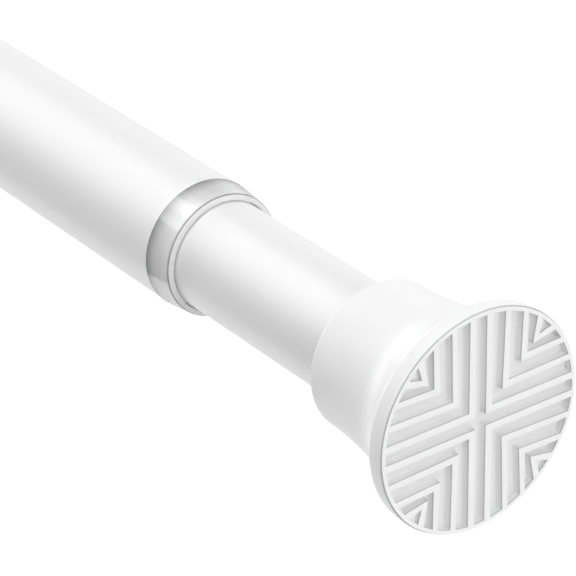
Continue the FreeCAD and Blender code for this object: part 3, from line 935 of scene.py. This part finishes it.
@dataclass
class Pad(Piece):
    """A rubber pad: nested chevrons in quarters round a plain cross, in a thin rim, with a stud behind."""

    end: End
    face: float
    radius: float = 20.4
    thickness: float = 3.2
    rim_width: float = 0.8
    bevel: float = 0.1
    depth: float = 1.5
    pocket_depth: float = 0.9
    foot: float = 0.42
    stud_radius: float = 4.0
    stud_length: float = 3.0
    stud_edge: float = 0.18
    edge: float = 0.06
    draft: float = 0.1
    row_gap: float = 0.35
    rib_points: int = 4
    wall_points: int = 5
    columns: int = 9
    ribs: tuple[Rib, ...] = (
        Rib(1.1, 0.0, 0.0),
        Rib(4.55, 1.9, 1.2),
        Rib(8.4, 2.6, 1.3),
        Rib(10.9, 10.7, 16.0),
    )

    def rows(self) -> tuple[Array, Array, Array]:
        """The lines of the tread's first eighth, from the middle of the cross to the far corner.

        Each line leaves the diagonal at a place with a lean. A rib's side is a wall with a round foot and a
        rounded top. The pocket past the last rib is shallower than the rest.

        Returns:
            The lines' places on the diagonal, the tangents of their leans and their depths below the face.
        """
        quarter = np.linspace(0.0, math.pi / 2, self.rib_points)
        foot_out = self.foot * (np.sin(quarter) - 1) - self.draft
        foot_down = self.depth - self.foot * (1 - np.cos(quarter))
        out = np.concatenate([foot_out, self.edge * (1 - np.cos(quarter))])
        down = np.concatenate([foot_down, self.edge * (1 - np.sin(quarter))])
        keys = [(0.0, 0.0, self.depth)]
        for rib in self.ribs:
            front, back = math.tan(math.radians(rib.lean)), math.tan(math.radians(rib.back_lean))
            keys += [(rib.tip + o, front, d) for o, d in zip(out, down)]
            keys += [(rib.tip + rib.width - o, back, d) for o, d in zip(out[::-1], down[::-1])]
        keys.append((self.inner_radius() / math.sqrt(2), keys[-1][1], self.depth))
        keys = np.array(keys)
        pocket = keys[:, 0] > self.ribs[-1].tip + self.ribs[-1].width / 2
        keys[pocket, 2] = np.minimum(keys[pocket, 2], self.pocket_depth)
        gaps = enumerate(np.diff(keys[:, 0]))
        fine = [np.linspace(k, k + 1, 2 + int(gap / self.row_gap))[:-1] for k, gap in gaps]
        fine = np.concatenate([*fine, [len(keys) - 1.0]])
        number = np.arange(len(keys))
        place, slope, below = (np.interp(fine, number, keys[:, k]) for k in range(3))
        return place, slope, below

    def inner_radius(self) -> float:
        """The radius of the rim's inner side."""
        return self.radius - self.rim_width

    def surround(self) -> tuple[Array, Array]:
        """The rim's section past its inner side, the pad's edge, its back and its stud, down to the axis.

        Returns:
            The radii and the depths below the face.
        """
        quarter = np.linspace(0.0, math.pi / 2, self.wall_points)
        inner = self.inner_radius()
        wall = inner + self.draft / 2
        stud_end = self.thickness + self.stud_length
        outer = rounded_outline([
            (inner, 0.0, 0.0),
            (self.radius - self.bevel, 0.0, self.edge),
            (self.radius, self.bevel, self.edge),
            (self.radius, self.thickness, self.edge),
            (self.stud_radius, self.thickness, self.edge),
            (self.stud_radius, stud_end, self.stud_edge),
            (0.0, stud_end, 0.0),
        ])[1:]
        wall_radius = np.concatenate([[wall], wall + self.edge * (1 - np.cos(quarter))])
        wall_depth = np.concatenate([[self.depth - self.edge / 2], self.edge * (1 - np.sin(quarter))])
        return np.concatenate([wall_radius, outer[:, 0]]), np.concatenate([wall_depth, outer[:, 1]])

    def eighth(self) -> Array:
        """The first eighth: each line runs from the diagonal to the rim, over it and round the back.

        A line meets the rim where it is the rim's radius away from the axis, by a quadratic equation.

        Returns:
            The points by line, column and (out, across, depth).
        """
        place, slope, below = self.rows()
        offset = place * (1 - slope)
        square = 1 + slope**2
        root = np.sqrt(np.maximum(square * self.inner_radius()**2 - offset**2, 0.0))
        far = (root - slope * offset) / square
        near = offset + slope * far
        share = np.linspace(0.0, 1.0, self.columns)
        out = place[:, None] + (far - place)[:, None] * share
        across = place[:, None] + (near - place)[:, None] * share
        depth = np.broadcast_to(below[:, None], out.shape)
        ring, ring_depth = self.surround()
        angle = np.arctan2(near, far)[:, None]
        wall = np.arange(len(ring)) <= self.wall_points
        ring_below = np.where(wall, np.minimum(ring_depth, below[:, None]), ring_depth)
        tread = np.stack([out, across, depth], -1)
        back = np.stack([ring * np.cos(angle), ring * np.sin(angle), ring_below], -1)
        return np.concatenate([tread, back], 1)

    def skin(self) -> Skin:
        """The eighth and its seven mirror images, welded.

        Returns:
            The surface.
        """
        eighth = self.eighth()
        cells = grid_triangles(eighth.shape[0], eighth.shape[1])
        out, across, depth = eighth.reshape(-1, 3).T
        x = self.face - depth * self.end.value
        points, triangles = [], []
        for swap in (False, True):
            y, z = (across, out) if swap else (out, across)
            for y_sign in (1, -1):
                for z_sign in (1, -1):
                    turned = swap ^ (y_sign * z_sign < 0)
                    triangles.append((cells[:, ::-1] if turned else cells) + len(points) * len(x))
                    points.append(np.stack([x, y * y_sign, z * z_sign], -1))
        return Skin.welded(np.concatenate(points), np.concatenate(triangles))


@dataclass
class Spring(Piece):
    """The compression spring: open turns between two closed end turns of one round wire."""

    start: float = 78.3
    end: float = 132.9
    radius: float = 7.5
    wire: float = 0.8
    open_turns: float = 6.0
    end_turns: float = 1.0
    end_gap: float = 0.1
    steps_per_turn: int = 40
    sides: int = 14
    stroke: float = 22.0
    joint: str = "spring_stroke"

    def skin(self) -> Skin:
        """A circle of wire carried along the coil, which climbs slowly in its end turns.

        Returns:
            The surface, whose wire shrinks to a point at its two ends.
        """
        first, last = self.start + self.wire, self.end - self.wire
        climb = (2 * self.wire + self.end_gap) * self.end_turns
        all_turns = self.open_turns + 2 * self.end_turns
        turns = np.linspace(0.0, all_turns, int(all_turns * self.steps_per_turn) + 1)
        knots = [0.0, self.end_turns, all_turns - self.end_turns, all_turns]
        along = np.interp(turns, knots, [first, first + climb, last - climb, last])[:, None]
        angle = turns[:, None] * 2 * math.pi
        around = np.arange(self.sides) * 2 * math.pi / self.sides
        thick = np.full((len(turns), 1), self.wire)
        thick[[0, -1]] = 0.0
        out = self.radius + thick * np.cos(around)
        grid = np.stack([along + thick * np.sin(around), out * np.cos(angle), out * np.sin(angle)], -1)
        return Skin.of_grid(grid, False, True)

    def build(self) -> bpy.types.Object:
        """Makes the spring, and gives it a mesh of its own.

        Returns:
            The spring's object.
        """
        made = super().build()
        length = self.end - self.start
        anchor = (self.start * MM, 0.0, 0.0)
        (length - self.stroke) / length
        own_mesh(made)
        return made


@dataclass
class LockWorks:
    """The lock's and the plunger's small parts inside the tubes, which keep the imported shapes."""

    shown: tuple[str, ...] = (
        "expander_sleeve", "drag_ring", "cone_nut", "plunger_rod", "spindle_clip", "thrust_washer",
        "spring_seat", "plug_washer", "guide_plug", "plug_rivets", "stop_washer", "stop_nut",
    )

    def dress(self) -> None:
        """Gives each part the finish of its slot in the record."""
        slots = {row["node"]: row["material_slot"] for row in frame["record"]["subparts"]}
        for name in self.shown:
            mesh = frame["nodes"][name].data
            mesh.materials.clear()
            mesh.materials.append(FINISHES[slots[name]].material())
            log.info("%s: %s", name, slots[name])


def placed(right: Array, up: Array, back: Array, place: Place) -> Matrix:
    """The matrix of an object with these axes at a place.

    Args:
        right: The way its own X points.
        up: The way its own Y points.
        back: The way its own Z points.
        place: Where it stands, in metres.

    Returns:
        The matrix.
    """
    matrix = np.eye(4)
    matrix[:3] = np.column_stack([right, up, back, place])
    return Matrix(matrix.tolist())


@dataclass(frozen=True)
class Softbox:
    """A rectangular studio light that faces a point, with its width level. Places are in metres."""

    name: str
    place: Place
    aim: Place
    width: float
    height: float
    radiance: float

    def build(self) -> None:
        """Makes the light, with the power that its area and brightness ask for."""
        back = np.subtract(self.place, self.aim)
        back /= np.linalg.norm(back)
        right = np.array([-back[1], back[0], 0.0])
        right /= np.linalg.norm(right)
        light = bpy.data.lights.new(self.name, "AREA")
        light.shape = "RECTANGLE"
        light.size, light.size_y = self.width, self.height
        light.energy = LAMP_POWER * self.width * self.height * self.radiance
        new_object(self.name, light).matrix_world = placed(right, np.cross(back, right), back, self.place)


@dataclass
class Studio:
    """The camera, the lights, the white surroundings and the pale floor, in metres and degrees."""

    eye: Place = (0.74467775, -0.26430353, 0.251116)
    azimuth: float = 54.290089
    elevation: float = 28.818705
    roll: float = -1.19054
    focal_pixels: float = 2946.133
    clip_near: float = 0.01
    clip_far: float = 50.0
    ambient: float = 0.37
    backdrop_edge: tuple[float, float] = (0.4, 0.8)
    floor_low: Place = (-4.0, -0.42, -0.6)
    floor_high: Place = (4.0, 4.0, -0.6)
    floor_colour: Colour = (0.82, 0.82, 0.82)
    floor_lift: float = 0.3
    softboxes: tuple[Softbox, ...] = (
        Softbox("overhead_bank", (-2.6, -0.54, 1.4), (-2.6, 0.0, 0.0), 4.0, 3.3, 0.178),
        Softbox("key_bank", (-0.85, -0.9, 1.78), (-0.85, 0.0, 0.0), 0.7, 2.9, 0.9),
        Softbox("front_softbox", (2.92, 0.0, 0.22), (0.43, 0.0, 0.0), 2.2, 2.2, 1.036),
        Softbox("brow_softbox", (2.345, 0.0, 1.607), (0.43, 0.0, 0.0), 2.2, 2.2, 0.796),
        Softbox("tail_softbox", (-2.06, 0.0, 0.22), (0.43, 0.0, 0.0), 1.5, 1.5, 1.55),
        Softbox("right_softbox", (0.43, 2.46, 0.43), (0.43, 0.0, 0.0), 2.2, 2.2, 1.115),
        Softbox("left_softbox", (0.43, -1.77, 1.77), (0.43, 0.0, 0.0), 1.5, 1.5, 1.514),
        Softbox("top_softbox", (0.52, 0.0, 2.5), (0.43, 0.0, 0.0), 1.5, 1.5, 1.368),
        Softbox("high_softbox", (-0.66, -0.33, 2.23), (0.43, 0.0, 0.0), 1.5, 1.5, 0.5),
    )

    def camera(self) -> None:
        """Makes the camera where the photograph was taken from."""
        data = bpy.data.cameras.new("photo_camera")
        data.sensor_width = SENSOR_MM
        data.lens = self.focal_pixels / PHOTO_PIXELS * SENSOR_MM
        data.clip_start, data.clip_end = self.clip_near, self.clip_far
        data.dof.use_dof = False
        made = new_object("photo_camera", data)
        made.matrix_world = placed(*self.axes(), self.eye)
        bpy.context.scene.camera = made

    def axes(self) -> tuple[Array, Array, Array]:
        """The camera's directions: level at its azimuth, tipped by its elevation, then rolled.

        Returns:
            The directions right, up and back.
        """
        a, e, r = (math.radians(v) for v in (self.azimuth, self.elevation, self.roll))
        level = np.array([math.cos(a), math.sin(a), 0.0])
        back = np.array([math.sin(a) * math.cos(e), -math.cos(a) * math.cos(e), math.sin(e)])
        right = level * math.cos(r) + np.cross(back, level) * math.sin(r)
        return right, np.cross(back, right), back

    @staticmethod
    def seen_by(graph: Graph) -> tuple[Signal, Signal]:
        """Whether the camera sees a thing, and whether a reflection or clear plastic shows it: 1 or 0."""
        camera, glossy, through = graph.rays("Camera", "Glossy", "Transmission")
        return camera, graph.math("MAXIMUM", glossy, through)

    def surroundings(self) -> None:
        """Makes the world: soft light, and a white backdrop for the camera and the reflections."""
        world = bpy.data.worlds.new("studio_white")
        world.use_nodes = True
        graph = Graph(world.node_tree)
        camera, mirrored = self.seen_by(graph)
        look = graph.node("ShaderNodeTexCoord").outputs["Generated"]
        ahead = tuple(-self.axes()[2])
        settings = {"operation": "DOT_PRODUCT"}
        facing = graph.signal("ShaderNodeVectorMath", "Value", settings, {0: look, 1: ahead})
        backdrop = graph.rise(facing, *self.backdrop_edge)
        shown = graph.math("MAXIMUM", camera, mirrored * backdrop)
        strength = self.ambient + shown * (1.0 - self.ambient)
        background = graph.node("ShaderNodeBackground", None, {"Color": WHITE, "Strength": strength})
        graph.node("ShaderNodeOutputWorld", None, {"Surface": background.outputs[0]})
        bpy.context.scene.world = world

    def floor(self) -> None:
        """Makes the floor, which keeps the rod's shadow and is lifted to white where it is seen."""
        (x0, y0, height), (x1, y1, _) = self.floor_low, self.floor_high
        mesh = bpy.data.meshes.new("studio_floor")
        corners = [(x0, y0, height), (x1, y0, height), (x1, y1, height), (x0, y1, height)]
        mesh.from_pydata(corners, [], [(0, 1, 2, 3)])
        material = bpy.data.materials.new("pale_floor")
        material.use_nodes = True
        graph = Graph(material.node_tree)
        lift = graph.math("MAXIMUM", *self.seen_by(graph)) * self.floor_lift
        glow = graph.node("ShaderNodeEmission", None, {"Color": WHITE, "Strength": lift}).outputs[0]
        both = graph.node("ShaderNodeAddShader", None, {0: graph.dull(self.floor_colour), 1: glow})
        graph.node("ShaderNodeOutputMaterial", None, {"Surface": both.outputs[0]})
        mesh.materials.append(material)
        made = new_object("studio_floor", mesh)

    def build(self) -> None:
        """Makes the whole studio."""
        bpy.context.scene.view_settings.view_transform = "Standard"
        self.camera()
        self.surroundings()
        self.floor()
        for softbox in self.softboxes:
            softbox.build()


@dataclass
class TensionRod:
    """The whole rod, from its fixed end at 0 to its free end, in millimetres."""

    length: float = 430.0
    outer_span: tuple[float, float] = (7.0, 350.75)
    outer_radius: float = 12.5
    outer_bore: float = 11.7
    inner_span: tuple[float, float] = (137.0, 423.0)
    inner_radius: float = 10.6
    inner_bore: float = 9.8

    def pieces(self) -> list[Piece]:
        """Every piece that gets a surface of its own.

        Returns:
            The pieces, in the order of their making.
        """
        fixed, free = (End.FIXED, 0.0), (End.FREE, self.length)
        outer, inner = (self.outer_radius, self.outer_bore), (self.inner_radius, self.inner_bore)
        return [
            Tube("outer_tube", "outer_body", "white_paint", *self.outer_span, self.outer_radius),
            Tube("inner_tube", "inner_body", "white_paint", *self.inner_span, self.inner_radius),
            CollarNose("clear_collar", "outer_body", "clear_plastic"),
            CollarSpigot("clear_collar", "outer_body", "clear_plastic"),
            Cap("fixed_end_cap", "outer_body", "white_plastic", *fixed, *outer),
            Cap("free_end_cap", "inner_body", "white_plastic", *free, *inner),
            Pad("fixed_end_pad", "outer_body", "pad_rubber", *fixed),
            Pad("free_end_pad", "inner_body", "pad_rubber", *free),
            Spring("compression_spring", "plunger", "spring_steel"),
        ]

    def build(self) -> None:
        """Makes every piece and dresses the parts inside."""
        for piece in self.pieces():
            piece.build()
        LockWorks().dress()


def main() -> None:
    """Builds the studio and the rod."""
    logging.basicConfig(level=logging.INFO, format="%(name)s %(message)s")
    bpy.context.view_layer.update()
    Studio().build()
    TensionRod().build()


if __name__ == "__main__":
    main()
